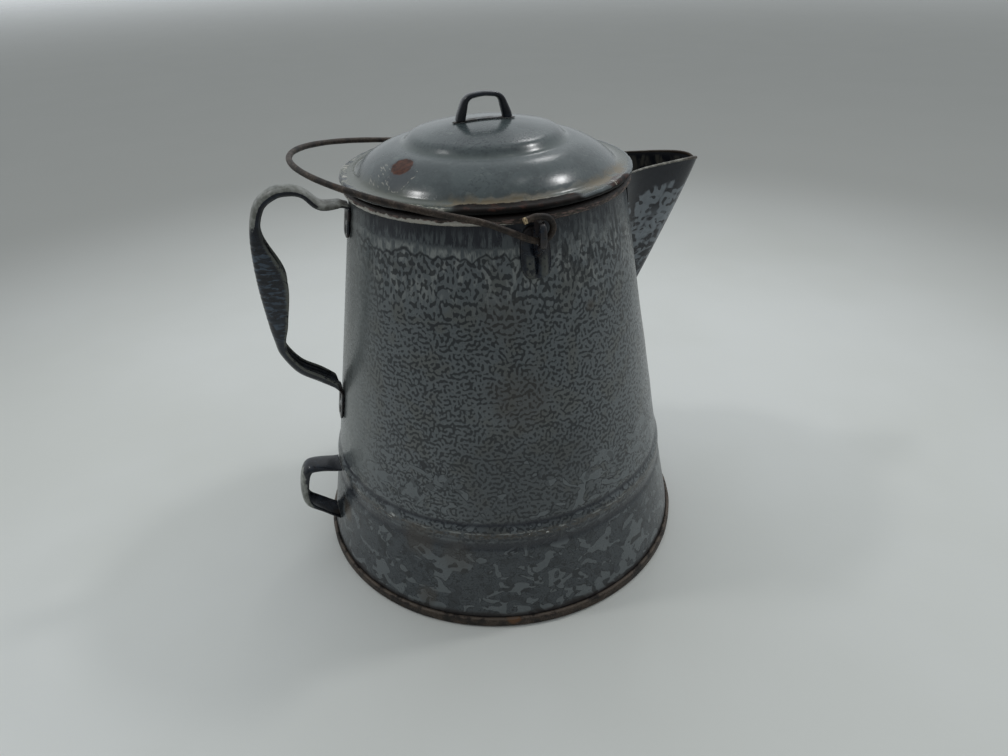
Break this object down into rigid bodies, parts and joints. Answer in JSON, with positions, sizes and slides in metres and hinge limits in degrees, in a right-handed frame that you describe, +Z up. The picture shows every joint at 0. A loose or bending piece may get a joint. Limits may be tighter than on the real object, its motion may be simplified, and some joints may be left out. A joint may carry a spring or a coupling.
{
  "type": "enamelled coffee boiler kettle",
  "caption": "Tall cone-shaped enamelled stovetop kettle with a pouring lip, swinging wire bail, back handle, low tipping handle and lift-off domed lid.",
  "frame": {"origin": "on the kettle's axis, level with the surface it stands on", "axes": "+Z up, +X toward the pouring lip, +Y toward the rear bail ear"},
  "size_m": [0.2831, 0.2512, 0.2885],
  "materials": {
    "body_enamel": "glossy gray enamel with dark bluish flecks, worn",
    "lid_enamel": "glossy lighter blue-gray enamel, rim chipped to brown steel",
    "dark_enamel": "near-black enamel with gray worn faces",
    "lip_enamel": "dark enamel with light gray blotches and a worn edge",
    "seam_steel": "bare brown rusted steel where the enamel wore off",
    "bail_steel": "dark brown rusted steel wire"
  },
  "bodies": {
    "kettle": {"body_shell": "body_enamel", "rim_wire": "seam_steel", "bottom_pan": "seam_steel", "spout": "lip_enamel", "main_handle": "dark_enamel", "rivet_upper_high": "dark_enamel", "rivet_upper_low": "dark_enamel", "rivet_lower_high": "dark_enamel", "rivet_lower_low": "dark_enamel", "tipping_handle": "dark_enamel", "bail_ear_front": "dark_enamel", "bail_ear_rear": "dark_enamel"},
    "bail": {"bail": "bail_steel"},
    "lid": {"lid_shell": "lid_enamel", "lid_collar": "lid_enamel", "lid_knob": "dark_enamel", "lid_knob_plate": "dark_enamel"}
  },
  "joints": [
    {"name": "bail_swing", "type": "hinge", "parent": "kettle", "child": "bail", "pos_m": [0, 0, 0.24], "axis": [0, 1, 0], "range_deg": [0, 150]},
    {"name": "lid_lift", "type": "slide", "parent": "kettle", "child": "lid", "axis": [0, 0, 1], "range_m": [0, 0.06]}
  ]
}
